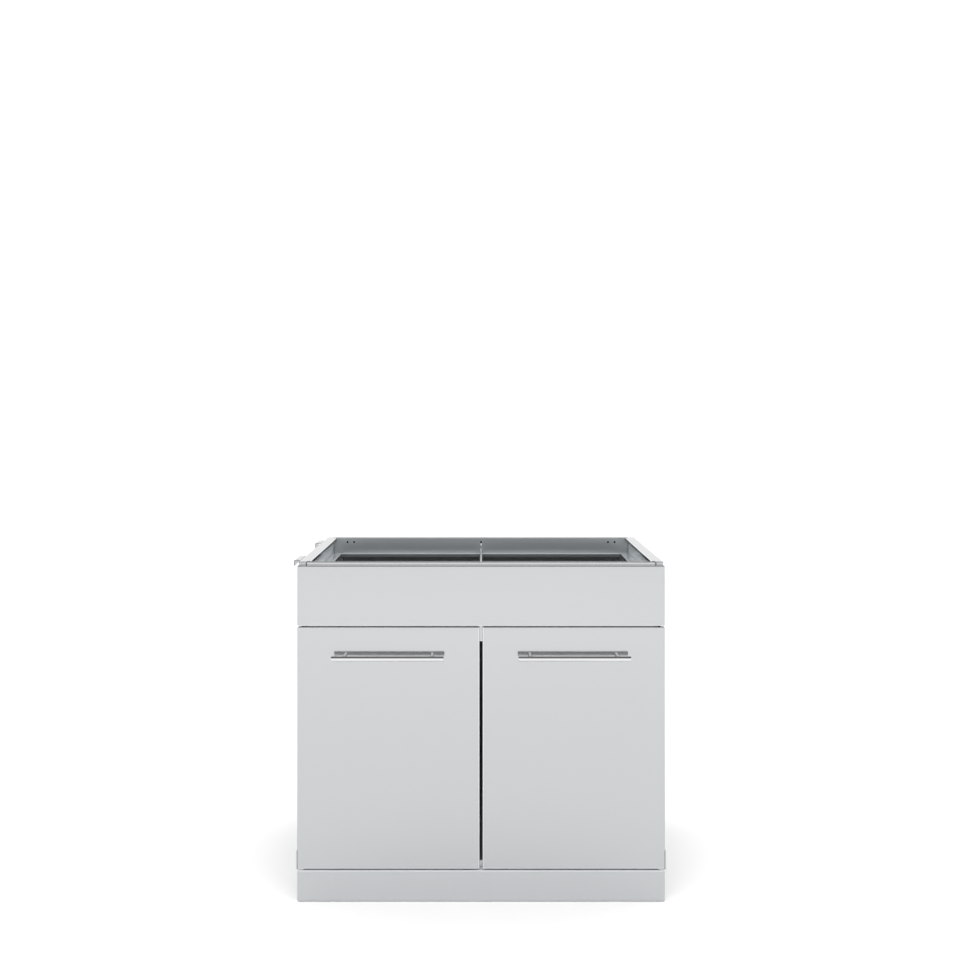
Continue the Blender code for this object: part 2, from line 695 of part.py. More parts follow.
def build_door_panels(side, side_name, hinge):
    low_x, high_x = door_span(side)
    low = (low_x, 0, DOOR_BOTTOM)
    high = (high_x, DOOR_THICKNESS, DOOR_TOP)
    skin = pan("door_skin_" + side_name, low, high, (0, 1, 0), hinge, "brushed_front")
    pivots = [((side * HINGE_X, HINGE_SETBACK, DOOR_TOP), BUSH_HOLE),
              ((side * HINGE_X, HINGE_SETBACK, DOOR_BOTTOM), BUSH_BORE)]
    drill(skin, pivots, "Z", 2 * OVERRUN, "pivot_holes")
    inset = SHEET + FIT_GAP
    liner_low = (low_x + inset, DOOR_THICKNESS - LINER_FLANGE, DOOR_BOTTOM + inset)
    liner_high = (high_x - inset, DOOR_THICKNESS, DOOR_TOP - inset)
    liner = pan("door_liner_" + side_name, liner_low, liner_high, (0, -1, 0), hinge, "brushed_carcass")
    for panel, y in ((skin, 0), (liner, DOOR_THICKNESS)):
        holes = [((x, y, HANDLE_HEIGHT), SCREW_HOLE) for x in handle_post_xs(side)]
        drill(panel, holes, "Y", 2 * OVERRUN, "handle_holes")


def handle_post_xs(side):
    middle = side * DOOR_MIDDLE_X
    reach = HANDLE_LENGTH / 2 - HANDLE_POST_INSET
    return [middle - reach, middle + reach]


def build_handle(side, side_name, hinge):
    middle_x = side * DOOR_MIDDLE_X
    end = HANDLE_LENGTH / 2
    bar_profile = [
        (0, end),
        (HANDLE_RADIUS - HANDLE_CHAMFER, end),
        (HANDLE_RADIUS, end - HANDLE_CHAMFER),
        (HANDLE_RADIUS, HANDLE_CHAMFER - end),
        (HANDLE_RADIUS - HANDLE_CHAMFER, -end),
        (0, -end),
    ]
    bar_place = (middle_x, -HANDLE_STANDOFF, HANDLE_HEIGHT)
    turned_part("handle_bar_" + side_name, bar_profile, bar_place, "X", hinge, "polished_steel",
                 steps=FINE_STEPS)
    base_y = -FIT_GAP
    screw_length = DOOR_THICKNESS + HANDLE_THREAD_DEPTH - SCREW_HEAD_HEIGHT
    for x, end_name in zip(handle_post_xs(side), ("west", "east")):
        suffix = side_name + "_" + end_name
        bm = bmesh.new()
        centre = (x, (base_y - HANDLE_STANDOFF) / 2, HANDLE_HEIGHT)
        add_cylinder(bm, centre, "Y", HANDLE_POST_RADIUS, HANDLE_STANDOFF + base_y)
        post = new_part("handle_post_" + suffix, bm, hinge, "polished_steel")
        smooth(post)
        saddle = bmesh.new()
        add_cylinder(saddle, bar_place, "X", HANDLE_RADIUS + FIT_GAP, HANDLE_LENGTH, FINE_STEPS)
        cut(post, saddle, "saddle")
        thread = ((x, base_y, HANDLE_HEIGHT), SCREW_HOLE)
        drill(post, [thread], "Y", 2 * HANDLE_THREAD_DEPTH, "thread")
        screw_place = (x, DOOR_THICKNESS + FIT_GAP, HANDLE_HEIGHT)
        turned_part("handle_screw_" + suffix, screw_profile(screw_length), screw_place, "Y", hinge,
                    "zinc_plate", steps=ROUND_STEPS // 2)


def build_door_hinge_parts(side, side_name, hinge):
    outer_x = HALF_WIDTH + BRACKET_PROUD
    under_z = DOOR_BOTTOM - FIT_GAP - BRACKET_SHEET
    path = [
        (outer_x, under_z + BRACKET_HEIGHT),
        (outer_x, under_z),
        (HALF_WIDTH - BRACKET_REACH, under_z),
    ]
    span = ((DOOR_THICKNESS - BRACKET_DEPTH) / 2, (DOOR_THICKNESS + BRACKET_DEPTH) / 2)
    bracket = folded_sheet("corner_bracket_" + side_name, mirrored(path, side), span, "XZ", hinge,
                           "polished_steel", BRACKET_SHEET, BRACKET_BEND)
    drill(bracket, [((side * HINGE_X, HINGE_SETBACK, under_z), BUSH_BORE)], "Z", 2 * OVERRUN)
    pin_seat = DOOR_BOTTOM + SHEET + FIT_GAP
    pin_tip = PLINTH_TOP - SHEET - FIT_GAP - HINGE_PLATE_THICKNESS
    turned_part("lower_hinge_pin_" + side_name, pin_profile(pin_seat - pin_tip),
                 (side * HINGE_X, HINGE_SETBACK, pin_seat), "Z", hinge, "polished_steel")
    turned_part("upper_hinge_bush_" + side_name, flanged_bush_profile(PIN_REACH),
                 (side * HINGE_X, HINGE_SETBACK, DOOR_TOP + FIT_GAP), "Z", hinge,
                 "white_plastic", closed=True)


def build_catch(side, side_name, hinge):
    """Magnetic catch under the door head rail, and the strike plate that it holds."""
    top = HEAD_RAIL_BOTTOM - FIT_GAP
    xs = (side * CATCH_OFFSET - CATCH_WIDTH / 2, side * CATCH_OFFSET + CATCH_WIDTH / 2)
    front_y = DOOR_THICKNESS + 2 * FIT_GAP + STRIKE_THICKNESS
    catch = block("catch_" + side_name, (xs[0], front_y, top - CATCH_HEIGHT),
                  (xs[1], front_y + CATCH_LENGTH, top), cabinet, "white_plastic", SHEET)
    slot_z = top - CATCH_HEIGHT / 2
    slot = box_bmesh(
        (side * CATCH_OFFSET - CATCH_SLOT_WIDTH / 2, front_y - OVERRUN, slot_z - CATCH_SLOT_HEIGHT / 2),
        (side * CATCH_OFFSET + CATCH_SLOT_WIDTH / 2, front_y + CATCH_SLOT_DEPTH,
         slot_z + CATCH_SLOT_HEIGHT / 2))
    cut(catch, slot, "magnet_slot")
    strike_low = (side * CATCH_OFFSET - STRIKE_WIDTH / 2, DOOR_THICKNESS + FIT_GAP, top - CATCH_HEIGHT)
    strike_high = (side * CATCH_OFFSET + STRIKE_WIDTH / 2,
                   DOOR_THICKNESS + FIT_GAP + STRIKE_THICKNESS, top)
    block("strike_plate_" + side_name, strike_low, strike_high, hinge, "zinc_plate")


def build_door(side, side_name):
    hinge = add_anchor("hinge_axis_" + side_name, (side * HINGE_X, HINGE_SETBACK, DOOR_BOTTOM), cabinet)
    build_door_panels(side, side_name, hinge)
    build_handle(side, side_name, hinge)
    build_door_hinge_parts(side, side_name, hinge)
    build_catch(side, side_name, hinge)


# Assembly

clear_scene()
cabinet_parts = new_collection("outdoor_kitchen_cabinet")
cabinet_cutters = new_collection("outdoor_kitchen_cabinet_cutters")
cabinet = add_anchor("cabinet_frame", (0, 0, 0))

for side_sign, side_word in ((-1, "left"), (1, "right")):
    side_skin(side_sign, "side_skin_" + side_word)
    side_liner(side_sign, "side_liner_" + side_word)
    build_fixed_hinges(side_sign, side_word)
    build_door(side_sign, side_word)

build_back()
build_floor()
build_front_rails()
build_false_front()
build_plinth()
build_ledges()
build_support_bar()
side_hook("side_hook_front", HOOK_FRONT_START, HOOK_FRONT_END)
side_hook("side_hook_rear", HOOK_REAR_START, HOOK_REAR_END)
build_sockets_and_feet()
bpy.context.view_layer.update()
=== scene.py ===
"""Looks for the outdoor kitchen cabinet: finishes, small fittings, light and camera.

Metres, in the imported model's frame: +Z up, the doors face -Y, +X to the right.
"""
import json
import math
from collections import namedtuple

import bmesh
import bpy
from mathutils import Matrix, Vector


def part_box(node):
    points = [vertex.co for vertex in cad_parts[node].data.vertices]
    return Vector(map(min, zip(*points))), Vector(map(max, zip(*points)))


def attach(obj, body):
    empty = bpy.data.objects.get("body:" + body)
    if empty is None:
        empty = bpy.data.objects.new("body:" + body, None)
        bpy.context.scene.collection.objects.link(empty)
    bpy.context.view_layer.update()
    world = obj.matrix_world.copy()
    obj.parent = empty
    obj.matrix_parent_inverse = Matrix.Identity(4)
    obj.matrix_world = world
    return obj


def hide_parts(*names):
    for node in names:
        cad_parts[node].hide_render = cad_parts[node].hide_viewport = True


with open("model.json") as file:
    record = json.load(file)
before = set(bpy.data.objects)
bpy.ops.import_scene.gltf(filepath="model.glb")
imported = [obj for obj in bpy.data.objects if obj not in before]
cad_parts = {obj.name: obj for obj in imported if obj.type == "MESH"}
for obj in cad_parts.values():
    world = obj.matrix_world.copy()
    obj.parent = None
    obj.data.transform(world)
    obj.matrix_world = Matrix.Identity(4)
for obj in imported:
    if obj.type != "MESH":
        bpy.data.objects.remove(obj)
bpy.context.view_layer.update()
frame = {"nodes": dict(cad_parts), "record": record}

# Places that the frame gives
FRONT_LOW, FRONT_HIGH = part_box("false_front")
BACK_LOW, BACK_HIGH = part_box("back_panel")
LEDGE_LOW, LEDGE_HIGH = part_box("ledge_back")
LEFT_FLANGE_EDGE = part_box("side_skin_left")[1].x
RIGHT_FLANGE_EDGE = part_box("side_skin_right")[0].x
LEFT_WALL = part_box("side_liner_left")[1].x
RIGHT_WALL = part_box("side_liner_right")[0].x
CENTRE_X = (FRONT_LOW.x + FRONT_HIGH.x) / 2

# Camera, as the photograph was taken: level, in front of the middle
CAMERA_DISTANCE = 3.002
CAMERA_HEIGHT = 1.2225
FOCAL_PIXELS = 1207.7
FRAME_PIXELS = 960
VANISHING_X = 481.05
VANISHING_Y = 410

# Meshes of the added pieces
QUARTER_TURN = math.radians(90)
SMOOTH_ANGLE = math.radians(35)
ROUND_PROFILE = 0.5
WELD = 0.00001

# Handle bars and their posts
BAR_EDGE = 0.0008
BAR_EDGE_STEPS = 4
BAR_STEPS = 96
POST_IN_BAR = 0.0035
POST_STEPS = 64

# Blind inserts in the fixing holes of the back wall
INSERT_OUTER_INSET = 0.0403
INSERT_INNER_INSET = 0.0599
INSERT_DROP = 0.012
INSERT_FLANGE = 0.0048
INSERT_RIM = 0.0005
INSERT_SEAT = 0.0001
INSERT_BARREL = 0.0033
INSERT_BORE = 0.0031
INSERT_BORE_SHARE = 0.9
INSERT_LENGTH = 0.013
INSERT_STEPS = 32

# Upturned end of the support bar, flat on the back wall below the middle fixing hole
TAB_DROP = 0.0153
TAB_SHEET = 0.0015
TAB_OVERLAP = 0.0004
TAB_EDGE = 0.0002
TAB_EDGE_SEGMENTS = 2
TAB_ARC_STEPS = 8

# Rivets that hold the two hooks
HOOK_SHEET = 0.0015
RIVET_RADIUS = 0.003
RIVET_HEIGHT = 0.0011
RIVET_DROP = 0.0235
RIVET_INSET = 0.018
RIVET_ARC_STEPS = 6
RIVET_STEPS = 32

# Floor
FLOOR_HALF = 40.0
FLOOR_COLOUR = (0.9, 0.9, 0.9, 1)

# World. A ramp has the heights where it starts and ends, 1 straight up, and its brightness at both.
WORLD_COLOUR = (1, 1, 1, 1)
HORIZON_RAMP = (0.53, 0.61, 1.12, 0.18)
OVERHEAD_RAMP = (0.87, 0.98, 0.18, 0.80)

# Lights
FRONT_SUN_DIRECTION = (0, 0.64, -0.77)
FRONT_SUN_POWER = 1.10
FRONT_SUN_SPREAD = math.radians(60)
OVERHEAD_SUN_DIRECTION = (0, 0, -1)
OVERHEAD_SUN_POWER = 1.65
OVERHEAD_SUN_SPREAD = math.radians(100)
PANEL_DISTANCE = 4.6
PANEL_HEIGHT = 2.4
PANEL_SIZE = (5, 2.6)
PANEL_POWER = 12

# Textures of the finishes. Noise scales are counts in a metre.
GRAIN_ALONG = 5
GRAIN_ACROSS = 900
GRAIN_EVEN = 350
GRAIN_SCALES = {
    "X": (GRAIN_ALONG, GRAIN_ACROSS, GRAIN_ACROSS),
    "Y": (GRAIN_ACROSS, GRAIN_ALONG, GRAIN_ACROSS),
    "none": (GRAIN_EVEN, GRAIN_EVEN, GRAIN_EVEN),
}
GRAIN_DETAIL = 3
GRAIN_DEPTH = 0.0002
CLOUD_SCALES = (3.5, 3.5, 3.5)
CLOUD_DETAIL = 2
MOULDED_SCALES = (900, 900, 900)
MOULDED_DETAIL = 2
MOULDED_TONE_SWING = 0.1
MOULDED_GLOSS_SWING = 0.06
MOULDED_BUMP = 0.15
MOULDED_DEPTH = 0.0001

# Colours of the finishes
FRONT_COLOUR = (0.507, 0.518, 0.528)
SIDE_COLOUR = (0.545, 0.557, 0.568)
# The plinth's top in painted light; its upright faces are darkened
PLINTH_LIT_TOP_COLOUR = (0.83, 0.85, 0.87)
# Bluish tone of the inner side walls, made brighter than the back sheet as painted light
LIT_WALL_COLOUR = (0.770, 0.810, 0.840)
RAIL_COLOUR = (0.610, 0.618, 0.626)
# The ledges' tops in painted light; their upright lips are darkened
LEDGE_LIT_TOP_COLOUR = (0.890, 0.925, 0.945)
STRAP_COLOUR = (0.580, 0.605, 0.620)
SHEET_COLOUR = (0.550, 0.575, 0.592)
POLISHED_COLOUR = (0.72, 0.72, 0.72)
ZINC_COLOUR = (0.55, 0.55, 0.54)
# Near-black painted shadow inside the inserts' bores
BORE_SHADOW_COLOUR = (0.015, 0.015, 0.016)
NYLON_COLOUR = (0.022, 0.022, 0.024)
ACETAL_COLOUR = (0.72, 0.72, 0.70)

# Painted shade by facing: the normal's part along an axis, where the shade is darkest and where it ends
# Facings of flats and outer bends, for the painted highlight on bends
FLAT_ACROSS = (0.15, 0.5)
FLAT_ALONG = (0.985, 0.94)
OUTWARD = (0.3, 0.1)
OUTER_BEND = (0.9, 0.985)
UPRIGHT = (0.2, 0.9)
INWARD = (-0.5, 0.2)
FORWARD = (-0.9, -0.2)
# Upper front of the handle bars, for their painted dark reflection
BAR_UPWARD = (0.68, 0.40)
BAR_FORWARD = (-0.05, 0.2)

# Painted shade and painted highlights by place
# Bends within these reaches of an outer side get no painted highlight
FRONT_BEND_REACH = 0.0026
SIDE_BEND_REACH = 0.0086
BEND_FADE = 0.0005
# Painted shade under the inner lip of a side's top flange
LIP_REACH = 0.009
LIP_FADE = 0.003
# Painted shade on the back wall above the ledge, and painted shadow below it
ABOVE_LEDGE = 0.002
BELOW_BACK_TOP = 0.0025
BEHIND_LEDGE = 0.003
BEHIND_LEDGE_FADE = 0.012
BELOW_LEDGE = 0.015
BELOW_LEDGE_FADE = 0.140

# Factors of the colour where a painted shade is darkest
# Flats are darkened by this, so that the bends beside them carry a painted highlight
FLAT_FACTOR = 0.56
LIP_FACTOR = 0.25
LEDGE_LIP_FACTOR = 0.31
PLINTH_FRONT_FACTOR = 0.54
BAR_TOP_FACTOR = 0.34
ABOVE_LEDGE_FACTOR = 0.66
LOWER_BACK_FACTOR = 0.32
HOOK_FRONT_FACTOR = 0.25

# Sockets of a Mix node for colours
MIX_FACTOR = 0
MIX_FIRST = 6
MIX_SECOND = 7
MIX_RESULT = 2


# Material nodes

def new_material(name):
    material = bpy.data.materials.new(name)
    material.use_nodes = True
    return material, material.node_tree.nodes, material.node_tree.links


def add_noise(nodes, links, scales, detail):
    """Noise over the object's own metres, stretched by a scale for each axis."""
    coordinates = nodes.new("ShaderNodeTexCoord")
    stretch = nodes.new("ShaderNodeMapping")
    stretch.inputs["Scale"].default_value = scales
    links.new(coordinates.outputs["Object"], stretch.inputs["Vector"])
    noise = nodes.new("ShaderNodeTexNoise")
    noise.inputs["Scale"].default_value = 1
    noise.inputs["Detail"].default_value = detail
    links.new(stretch.outputs["Vector"], noise.inputs["Vector"])
    return noise.outputs["Fac"]


def add_ramp(nodes, links, source, limits):
    """Maps the range between the first two limits to the range between the last two."""
    mapping = nodes.new("ShaderNodeMapRange")
    for socket, value in zip(("From Min", "From Max", "To Min", "To Max"), limits):
        mapping.inputs[socket].default_value = value
    links.new(source, mapping.inputs["Value"])
    return mapping


def add_larger(nodes, links, first, second):
    larger = nodes.new("ShaderNodeMath")
    larger.operation = "MAXIMUM"
    links.new(first, larger.inputs[0])
    links.new(second, larger.inputs[1])
    return larger.outputs["Value"]


def add_range(nodes, links, source, middle, swing, socket):
    mapping = add_ramp(nodes, links, source, (0, 1, middle - swing, middle + swing))
    links.new(mapping.outputs["Result"], socket)


def add_tone(nodes, links, source, colour, swing, socket):
    tone = nodes.new("ShaderNodeMix")
    tone.data_type = "RGBA"
    tone.inputs[MIX_FIRST].default_value = (*[c * (1 - swing) for c in colour], 1)
    tone.inputs[MIX_SECOND].default_value = (*[min(1, c * (1 + swing)) for c in colour], 1)
    links.new(source, tone.inputs[MIX_FACTOR])
    links.new(tone.outputs[MIX_RESULT], socket)


def add_bump(nodes, links, source, strength, depth, socket):
    bump = nodes.new("ShaderNodeBump")
    bump.inputs["Strength"].default_value = strength
    bump.inputs["Distance"].default_value = depth
    links.new(source, bump.inputs["Height"])
    links.new(bump.outputs["Normal"], socket)


# A painted shade is a list of fades, and is dark where all of them are. A fade has a texture coordinate,
# its axis, the values where it is darkest and where it ends, and the factor of the colour where it is
# darkest.
Fade = namedtuple("Fade", "coordinate axis dark end factor")


def add_painted_shade(nodes, links, fades):
    shader = nodes["Principled BSDF"]
    coordinates = nodes.new("ShaderNodeTexCoord")
    factors = []
    for fade in fades:
        split = nodes.new("ShaderNodeSeparateXYZ")
        links.new(coordinates.outputs[fade.coordinate], split.inputs["Vector"])
        ramp = add_ramp(nodes, links, split.outputs[fade.axis], (fade.dark, fade.end, fade.factor, 1))
        factors.append(ramp.outputs["Result"])
    factor = factors[0]
    for other in factors[1:]:
        factor = add_larger(nodes, links, factor, other)
    scaled = nodes.new("ShaderNodeVectorMath")
    scaled.operation = "SCALE"
    links.new(shader.inputs["Base Color"].links[0].from_socket, scaled.inputs[0])
    links.new(factor, scaled.inputs["Scale"])
    links.new(scaled.outputs["Vector"], shader.inputs["Base Color"])


# Painted shade and painted highlights

def facing(axis, limits, factor, sign=1):
    """A fade by the part of the surface normal along an axis."""
    dark, end = limits
    return Fade("Normal", axis, sign * dark, sign * end, factor)


def bend_highlight_colour(colour):
    """The painted highlight colour of the bends on a sheet whose flats, once darkened, have this colour."""
    return [min(1, value / FLAT_FACTOR) for value in colour]


def paint_bend_highlights():
    """Darkens the flats that face along an axis, so that the bends between them carry a painted highlight.
    """
    ways = [(axis, sign) for axis in "XZ" for sign in (1, -1)]
    along_y = [facing(axis, FLAT_ACROSS, FLAT_FACTOR, sign) for axis, sign in ways]
    along_x_and_z = [[facing(axis, FLAT_ALONG, FLAT_FACTOR, sign)] for axis, sign in ways]
    return [along_y, *along_x_and_z]


def no_highlight_on_outer_bends(outer_x, outward, reach):
    """Keeps the bends within reach of one outer side as dark as the flats, with no painted highlight."""
    x = outer_x - outward * reach
    return [Fade("Object", "X", x + outward * BEND_FADE, x - outward * BEND_FADE, FLAT_FACTOR),
            facing("X", OUTWARD, FLAT_FACTOR, outward),
            facing("X", OUTER_BEND, FLAT_FACTOR, outward)]


def paint_lip_shade(edge_x, outward):
    """Painted shade on the upright faces near the inner edge of a side's top flange."""
    dark_x = edge_x + outward * LIP_REACH
    return [Fade("Object", "X", dark_x, dark_x + outward * LIP_FADE, LIP_FACTOR),
            facing("Z", UPRIGHT, LIP_FACTOR)]


def paint_shade_above_ledge():
    """Painted shade on the back wall just above the ledge, and less towards its top edge."""
    behind_z = LEDGE_HIGH.z - BEHIND_LEDGE
    dark_z = LEDGE_HIGH.z + ABOVE_LEDGE
    return [Fade("Object", "Z", dark_z, BACK_HIGH.z - BELOW_BACK_TOP, ABOVE_LEDGE_FACTOR),
            Fade("Object", "Z", behind_z, behind_z - BEHIND_LEDGE_FADE, ABOVE_LEDGE_FACTOR),
            facing("Y", INWARD, ABOVE_LEDGE_FACTOR)]


def paint_shadow_lower_back():
    """Painted shadow on the inside of the back wall below the ledge."""
    end_z = LEDGE_LOW.z - BELOW_LEDGE
    return [Fade("Object", "Z", end_z - BELOW_LEDGE_FADE, end_z, LOWER_BACK_FACTOR),
            facing("Y", INWARD, LOWER_BACK_FACTOR)]


# Finishes

def steel(name, colour, grain, metallic=0.95, roughness=0.14, gloss_swing=0.02, bump=0.03, tone_swing=0.004,
          edge_tint=0.9, painted_shades=()):
    """Stainless sheet: fine grain in gloss and bump, with faint uneven tone, and any painted shades."""
    material, nodes, links = new_material(name)
    shader = nodes["Principled BSDF"]
    shader.inputs["Metallic"].default_value = metallic
    shader.inputs["Specular Tint"].default_value = (edge_tint, edge_tint, edge_tint, 1)
    lines = add_noise(nodes, links, GRAIN_SCALES[grain], GRAIN_DETAIL)
    clouds = add_noise(nodes, links, CLOUD_SCALES, CLOUD_DETAIL)
    add_range(nodes, links, lines, roughness, gloss_swing, shader.inputs["Roughness"])
    add_tone(nodes, links, clouds, colour, tone_swing, shader.inputs["Base Color"])
    add_bump(nodes, links, lines, bump, GRAIN_DEPTH, shader.inputs["Normal"])
    for shade in painted_shades:
        add_painted_shade(nodes, links, shade)
    return material


def plastic(name, colour, roughness):
    """Moulded plastic with a fine spark-eroded texture."""
    material, nodes, links = new_material(name)
    shader = nodes["Principled BSDF"]
    grain = add_noise(nodes, links, MOULDED_SCALES, MOULDED_DETAIL)
    add_tone(nodes, links, grain, colour, MOULDED_TONE_SWING, shader.inputs["Base Color"])
    add_range(nodes, links, grain, roughness, MOULDED_GLOSS_SWING, shader.inputs["Roughness"])
    add_bump(nodes, links, grain, MOULDED_BUMP, MOULDED_DEPTH, shader.inputs["Normal"])
    return material


INNER = {"gloss_swing": 0.03, "bump": 0.04, "tone_swing": 0.01}
POLISHED = {"metallic": 1.0, "roughness": 0.05, "gloss_swing": 0.01, "bump": 0.02, "edge_tint": 1.0}
PLATED = {"metallic": 0.9, "gloss_swing": 0.06, "bump": 0.10, "tone_swing": 0.05, "edge_tint": 1.0}
# Painted highlights on the bends of the fronts
FRONT_SHADES = [
    *paint_bend_highlights(),
    no_highlight_on_outer_bends(FRONT_LOW.x, -1, FRONT_BEND_REACH),
    no_highlight_on_outer_bends(FRONT_HIGH.x, 1, FRONT_BEND_REACH),
]
# Sides: painted shade under the flange lip, and painted highlights on the bends
LEFT_SHADES = [
    paint_lip_shade(LEFT_FLANGE_EDGE, -1),
    *paint_bend_highlights(),
    no_highlight_on_outer_bends(FRONT_LOW.x, -1, SIDE_BEND_REACH),
]
RIGHT_SHADES = [
    paint_lip_shade(RIGHT_FLANGE_EDGE, 1),
    *paint_bend_highlights(),
    no_highlight_on_outer_bends(FRONT_HIGH.x, 1, SIDE_BEND_REACH),
]
# Painted shade on the hooks' forward faces
HOOK_SHADES = [[facing("Y", FORWARD, HOOK_FRONT_FACTOR)]]
# Painted light: the plinth's top is lighter than its upright faces
PLINTH_SHADES = [[facing("Z", UPRIGHT, PLINTH_FRONT_FACTOR)]]
# Painted shade on the ledges' upright lips, below their lit tops
LEDGE_SHADES = [[facing("Z", UPRIGHT, LEDGE_LIP_FACTOR)]]
# Painted shadow below the back ledge, and painted shade just above it
BACK_SHADES = [paint_shadow_lower_back(), paint_shade_above_ledge()]
# Painted reflection: the upper front of the handle bars is darkened, as a dark ceiling mirrored
BAR_SHADES = [[facing("Z", BAR_UPWARD, BAR_TOP_FACTOR), facing("Y", BAR_FORWARD, BAR_TOP_FACTOR)]]

FINISHES = {
    "front": steel("front_satin", bend_highlight_colour(FRONT_COLOUR), "X", roughness=0.12, gloss_swing=0.03, bump=0.06,
                   tone_swing=0.006, painted_shades=FRONT_SHADES),
    "rail": steel("rail_satin", RAIL_COLOUR, "X"),
    "plinth": steel("plinth_satin", PLINTH_LIT_TOP_COLOUR, "X", metallic=0.3, roughness=0.24, painted_shades=PLINTH_SHADES),
    "side_left": steel("side_satin_left", bend_highlight_colour(SIDE_COLOUR), "Y", painted_shades=LEFT_SHADES),
    "side_right": steel("side_satin_right", bend_highlight_colour(SIDE_COLOUR), "Y", painted_shades=RIGHT_SHADES),
    "hook": steel("hook_satin", SIDE_COLOUR, "Y", painted_shades=HOOK_SHADES),
    "wall": steel("inner_wall_satin", LIT_WALL_COLOUR, "Y", metallic=0.45, roughness=0.20, **INNER),
    "ledge": steel("ledge_satin", LEDGE_LIT_TOP_COLOUR, "X", metallic=0.7, roughness=0.18, painted_shades=LEDGE_SHADES,
                   **INNER),
    "strap": steel("strap_satin", STRAP_COLOUR, "Y", metallic=0.7, roughness=0.18, **INNER),
    "back": steel("back_satin", SHEET_COLOUR, "X", metallic=1.0, roughness=0.38, gloss_swing=0.03, bump=0.05,
                  tone_swing=0.01, painted_shades=BACK_SHADES),
    "inside": steel("inside_satin", SHEET_COLOUR, "X", metallic=1.0, roughness=0.30, gloss_swing=0.04,
                    bump=0.06, tone_swing=0.02),
    "hardware": steel("hardware_satin", POLISHED_COLOUR, "X", **POLISHED),
    "bar": steel("bar_satin", POLISHED_COLOUR, "X", painted_shades=BAR_SHADES, **POLISHED),
    "zinc": steel("zinc_plate", ZINC_COLOUR, "none", roughness=0.34, **PLATED),
    "thread": steel("thread_shadow", BORE_SHADOW_COLOUR, "none", roughness=0.5, **PLATED),
    "black": plastic("black_nylon", NYLON_COLOUR, 0.45),
    "white": plastic("white_acetal", ACETAL_COLOUR, 0.38),
}
SLOT_FINISHES = {
    "brushed_front": "front",
    "brushed_carcass": "inside",
    "satin_hardware": "hardware",
    "zinc_plate": "zinc",
    "black_plastic": "black",
    "white_plastic": "white",
}
NODE_FINISHES = {
    "side_skin_left": "side_left",
    "side_skin_right": "side_right",
    "side_hook_front": "hook",
    "side_hook_rear": "hook",
    "side_liner_left": "wall",
    "side_liner_right": "wall",
    "ledge_left": "ledge",
    "ledge_right": "ledge",
    "ledge_back": "ledge",
    "ledge_front": "ledge",
    "support_bar": "strap",
    "plinth": "plinth",
    "back_panel": "back",
    "top_front_rail": "rail",
    "door_head_rail": "front",
    "corner_bracket_left": "front",
    "corner_bracket_right": "front",
}


def finish_cad_nodes():
    slot_of = {part["node"]: part["material_slot"] for part in frame["record"]["subparts"]}
    for node, obj in frame["nodes"].items():
        finish = NODE_FINISHES.get(node, SLOT_FINISHES[slot_of[node]])
        for material_slot in obj.material_slots:
            material_slot.material = FINISHES[finish]


# Pieces

AXIS_TURNS = {
    "X": Matrix.Rotation(QUARTER_TURN, 4, "Y"),
    "-X": Matrix.Rotation(-QUARTER_TURN, 4, "Y"),
    "Y": Matrix.Rotation(-QUARTER_TURN, 4, "X"),
    "-Y": Matrix.Rotation(QUARTER_TURN, 4, "X"),
}


def add_piece(bm, name, body, slot, *finishes):
    """Makes the mesh a smooth piece that rides on a body. A face's material index picks its finish."""
    mesh = bpy.data.meshes.new(name)
    bm.to_mesh(mesh)
    bm.free()
    mesh.shade_smooth()
    mesh.set_sharp_from_angle(angle=SMOOTH_ANGLE)
    for finish in finishes:
        mesh.materials.append(FINISHES[finish])
    piece = bpy.data.objects.new(name, mesh)
    bpy.context.scene.collection.objects.link(piece)
    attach(piece, body)
    return piece


def turned(name, profile, centre, axis, steps, body, slot, finish, bore=0):
    """A profile of (radius, height) points, turned about an axis through a point.

    The faces inside the radius of a bore get a near-black painted shadow.
    """
    bm = bmesh.new()
    verts = [bm.verts.new((radius, 0, height)) for radius, height in profile]
    edges = [bm.edges.new(ends) for ends in zip(verts, verts[1:])]
    bmesh.ops.spin(bm, geom=verts + edges, axis=(0, 0, 1), angle=math.tau, steps=steps)
    bmesh.ops.remove_doubles(bm, verts=bm.verts, dist=WELD)
    bmesh.ops.recalc_face_normals(bm, faces=bm.faces)
    for face in bm.faces:
        in_bore = bore > 0 and all(vert.co.xy.length < bore + WELD for vert in face.verts)
        face.material_index = int(in_bore)
    bm.transform(Matrix.Translation(centre) @ AXIS_TURNS[axis])
    finishes = (finish, "thread") if bore else (finish,)
    return add_piece(bm, name, body, slot, *finishes)


def quarter_arc(radius, height, steps):
    """Points from the top of a quarter ellipse to its side."""
    turns = [QUARTER_TURN * i / steps for i in range(steps + 1)]
    return [(radius * math.sin(turn), height * math.cos(turn)) for turn in turns]


def middle_and_size(node):
    low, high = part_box(node)
    return (low + high) / 2, high - low


def bar_profile(radius, half):
    """Both ends and the side of a bar with rounded rims."""
    arc = quarter_arc(BAR_EDGE, BAR_EDGE, BAR_EDGE_STEPS)
    upper = [(0, half)] + [(radius - BAR_EDGE + r, half - BAR_EDGE + h) for r, h in arc]
    return upper + [(r, -h) for r, h in reversed(upper)]


